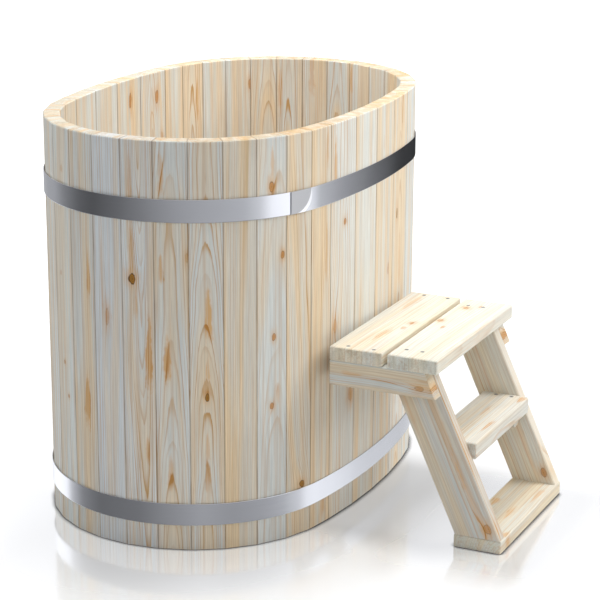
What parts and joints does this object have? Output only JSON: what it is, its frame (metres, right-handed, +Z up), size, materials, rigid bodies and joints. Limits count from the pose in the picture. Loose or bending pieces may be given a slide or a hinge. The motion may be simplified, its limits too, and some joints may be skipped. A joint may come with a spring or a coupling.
{
  "type": "wooden plunge tub",
  "caption": "Oval coopered plunge tub of upright wooden staves with two steel hoops, a floor drain with a lift-out plug, and a wooden step ladder fixed to one long side.",
  "frame": {"origin": "centre of the outside box, at the floor that the tub and its ladder stand on", "axes": "+X across the tub and out through the ladder, +Y along the tub, +Z up"},
  "size_m": [1.2256, 1.1878, 1],
  "materials": {
    "stave_pine": "planed, unfinished pine",
    "floor_pine": "planed, unfinished pine",
    "step_pine": "planed, unfinished pine",
    "frame_pine": "planed, unfinished pine",
    "hoop_steel": "satin stainless steel",
    "drain_steel": "satin stainless steel",
    "plug_rubber": "dull black rubber",
    "screw_steel": "dulled stainless steel"
  },
  "bodies": {
    "tub": {"stave_01": "stave_pine", "stave_02": "stave_pine", "stave_03": "stave_pine", "stave_04": "stave_pine", "stave_05": "stave_pine", "stave_06": "stave_pine", "stave_07": "stave_pine", "stave_08": "stave_pine", "stave_09": "stave_pine", "stave_10": "stave_pine", "stave_11": "stave_pine", "stave_12": "stave_pine", "stave_13": "stave_pine", "stave_14": "stave_pine", "stave_15": "stave_pine", "stave_16": "stave_pine", "stave_17": "stave_pine", "stave_18": "stave_pine", "stave_19": "stave_pine", "stave_20": "stave_pine", "stave_21": "stave_pine", "stave_22": "stave_pine", "stave_23": "stave_pine", "stave_24": "stave_pine", "stave_25": "stave_pine", "stave_26": "stave_pine", "stave_27": "stave_pine", "stave_28": "stave_pine", "stave_29": "stave_pine", "stave_30": "stave_pine", "stave_31": "stave_pine", "stave_32": "stave_pine", "stave_33": "stave_pine", "stave_34": "stave_pine", "stave_35": "stave_pine", "stave_36": "stave_pine", "floor_board_1": "floor_pine", "floor_board_2": "floor_pine", "floor_board_3": "floor_pine", "floor_board_4": "floor_pine", "floor_board_5": "floor_pine", "left_bearer": "floor_pine", "right_bearer": "floor_pine", "inner_platform_board": "step_pine", "outer_platform_board": "step_pine", "middle_tread": "step_pine", "bottom_board": "step_pine", "left_rail": "frame_pine", "right_rail": "frame_pine", "left_stringer": "frame_pine", "right_stringer": "frame_pine", "left_cleat": "frame_pine", "right_cleat": "frame_pine", "wall_ledger": "frame_pine", "upper_hoop": "hoop_steel", "lower_hoop": "hoop_steel", "drain_fitting": "drain_steel", "drain_nut": "drain_steel", "wood_screws": "screw_steel"},
    "plug": {"drain_plug": "plug_rubber"}
  },
  "joints": [
    {"name": "plug_lift", "type": "slide", "parent": "tub", "child": "plug", "axis": [0, 0, 1], "range_m": [0, 0.06]}
  ]
}
